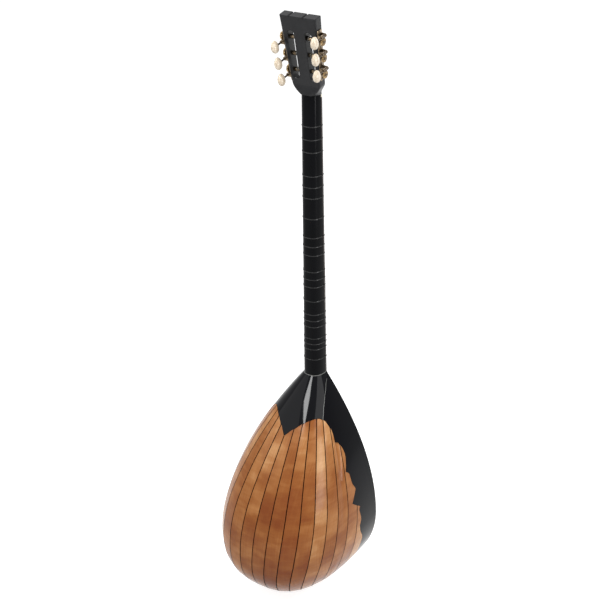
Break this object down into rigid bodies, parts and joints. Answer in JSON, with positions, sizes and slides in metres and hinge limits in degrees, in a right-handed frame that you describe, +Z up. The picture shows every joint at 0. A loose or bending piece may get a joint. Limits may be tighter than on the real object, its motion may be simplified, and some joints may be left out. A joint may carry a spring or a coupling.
{
  "type": "electro-acoustic saz",
  "caption": "Long-necked lute with a deep bowl of wooden staves, tied frets, a slotted head with worm-gear tuners and an output jack for its pickup.",
  "frame": {"origin": "middle of the neck at the height where the fork of a wall hanger takes the shoulders of the head", "axes": "+Z up along the neck, -Y out of the soundboard, +X to the treble side"},
  "size_m": [0.2743, 0.2538, 1.1528],
  "materials": {
    "stave_wood": "clear gloss lacquer over warm brown wood",
    "gloss_black": "polished black lacquer",
    "satin_black": "satin black lacquer, glossier on the end face",
    "fingerboard_wood": "dark, closed-pored, satin",
    "soundboard_spruce": "straight grain, clear lacquer",
    "pale_wood": "bare",
    "bridge_wood": "oiled",
    "bone": "polished bone",
    "plated_steel": "satin nickel plating",
    "brass": "bare, slightly dull",
    "steel": "bright",
    "ivory_plastic": "polished, slightly see-through at the edges",
    "cable_black": "matt"
  },
  "bodies": {
    "root": {"bridge": "bridge_wood", "edge_binding": "gloss_black", "fingerboard": "fingerboard_wood", "head": "satin_black", "heel_cap": "gloss_black", "jack_nut": "plated_steel", "neck": "gloss_black", "neck_block": "pale_wood", "nut": "bone", "output_jack": "plated_steel", "pickup": "brass", "pickup_cable": "cable_black", "rim_lining_bass": "pale_wood", "rim_lining_treble": "pale_wood", "side_panel_bass": "gloss_black", "side_panel_treble": "gloss_black", "soundboard": "soundboard_spruce", "stave_bass_8": "stave_wood", "stave_bass_9": "stave_wood", "stave_treble_8": "stave_wood", "stave_treble_9": "stave_wood", "staves_bass_1_to_7": "stave_wood", "staves_treble_1_to_7": "stave_wood", "string_1": "steel", "string_2": "steel", "string_3": "steel", "string_4": "steel", "string_5": "steel", "string_6": "steel", "string_holder": "plated_steel", "tail_block": "pale_wood", "tail_cap": "gloss_black", "tail_saddle": "bone", "tuner_plate_bass": "plated_steel", "tuner_plate_treble": "plated_steel"},
    "worm_bass_1": {"worm_shaft_bass_1": "steel", "tuner_button_bass_1": "ivory_plastic"},
    "roller_bass_1": {"string_roller_bass_1": "plated_steel", "gear_wheel_bass_1": "brass"},
    "worm_bass_2": {"worm_shaft_bass_2": "steel", "tuner_button_bass_2": "ivory_plastic"},
    "roller_bass_2": {"string_roller_bass_2": "plated_steel", "gear_wheel_bass_2": "brass"},
    "worm_bass_3": {"worm_shaft_bass_3": "steel", "tuner_button_bass_3": "ivory_plastic"},
    "roller_bass_3": {"string_roller_bass_3": "plated_steel", "gear_wheel_bass_3": "brass"},
    "worm_treble_1": {"worm_shaft_treble_1": "steel", "tuner_button_treble_1": "ivory_plastic"},
    "roller_treble_1": {"string_roller_treble_1": "plated_steel", "gear_wheel_treble_1": "brass"},
    "worm_treble_2": {"worm_shaft_treble_2": "steel", "tuner_button_treble_2": "ivory_plastic"},
    "roller_treble_2": {"string_roller_treble_2": "plated_steel", "gear_wheel_treble_2": "brass"},
    "worm_treble_3": {"worm_shaft_treble_3": "steel", "tuner_button_treble_3": "ivory_plastic"},
    "roller_treble_3": {"string_roller_treble_3": "plated_steel", "gear_wheel_treble_3": "brass"}
  },
  "joints": [
    {"name": "worm_bass_1_turn", "type": "hinge", "parent": "root", "child": "worm_bass_1", "pos_m": [-0.03728, 0.00975, 0.04598], "axis": [0, 0.9816, -0.1908], "continuous": true},
    {"name": "roller_bass_1_turn", "type": "hinge", "parent": "root", "child": "roller_bass_1", "pos_m": [-0.02942, 0.00808, 0.03742], "axis": [-0.998, -0.012, -0.0615], "continuous": true},
    {"name": "worm_bass_2_turn", "type": "hinge", "parent": "root", "child": "worm_bass_2", "pos_m": [-0.03913, 0.01537, 0.07494], "axis": [0, 0.9816, -0.1908], "continuous": true},
    {"name": "roller_bass_2_turn", "type": "hinge", "parent": "root", "child": "roller_bass_2", "pos_m": [-0.03127, 0.01371, 0.06638], "axis": [-0.998, -0.012, -0.0615], "continuous": true},
    {"name": "worm_bass_3_turn", "type": "hinge", "parent": "root", "child": "worm_bass_3", "pos_m": [-0.04099, 0.021, 0.1039], "axis": [0, 0.9816, -0.1908], "continuous": true},
    {"name": "roller_bass_3_turn", "type": "hinge", "parent": "root", "child": "roller_bass_3", "pos_m": [-0.03313, 0.01934, 0.09534], "axis": [-0.998, -0.012, -0.0615], "continuous": true},
    {"name": "worm_treble_1_turn", "type": "hinge", "parent": "root", "child": "worm_treble_1", "pos_m": [0.03613, 0.00624, 0.02796], "axis": [0, 0.9816, -0.1908], "continuous": true},
    {"name": "roller_treble_1_turn", "type": "hinge", "parent": "root", "child": "roller_treble_1", "pos_m": [0.02942, 0.00808, 0.03742], "axis": [0.998, -0.012, -0.0615], "continuous": true},
    {"name": "worm_treble_2_turn", "type": "hinge", "parent": "root", "child": "worm_treble_2", "pos_m": [0.03798, 0.01187, 0.05692], "axis": [0, 0.9816, -0.1908], "continuous": true},
    {"name": "roller_treble_2_turn", "type": "hinge", "parent": "root", "child": "roller_treble_2", "pos_m": [0.03127, 0.01371, 0.06638], "axis": [0.998, -0.012, -0.0615], "continuous": true},
    {"name": "worm_treble_3_turn", "type": "hinge", "parent": "root", "child": "worm_treble_3", "pos_m": [0.03983, 0.0175, 0.08588], "axis": [0, 0.9816, -0.1908], "continuous": true},
    {"name": "roller_treble_3_turn", "type": "hinge", "parent": "root", "child": "roller_treble_3", "pos_m": [0.03313, 0.01934, 0.09534], "axis": [0.998, -0.012, -0.0615], "continuous": true}
  ],
  "couplings": [
    {"joint": "roller_bass_1_turn", "follows": "worm_bass_1_turn", "ratio": -0.071429},
    {"joint": "roller_bass_2_turn", "follows": "worm_bass_2_turn", "ratio": -0.071429},
    {"joint": "roller_bass_3_turn", "follows": "worm_bass_3_turn", "ratio": -0.071429},
    {"joint": "roller_treble_1_turn", "follows": "worm_treble_1_turn", "ratio": -0.071429},
    {"joint": "roller_treble_2_turn", "follows": "worm_treble_2_turn", "ratio": -0.071429},
    {"joint": "roller_treble_3_turn", "follows": "worm_treble_3_turn", "ratio": -0.071429}
  ]
}
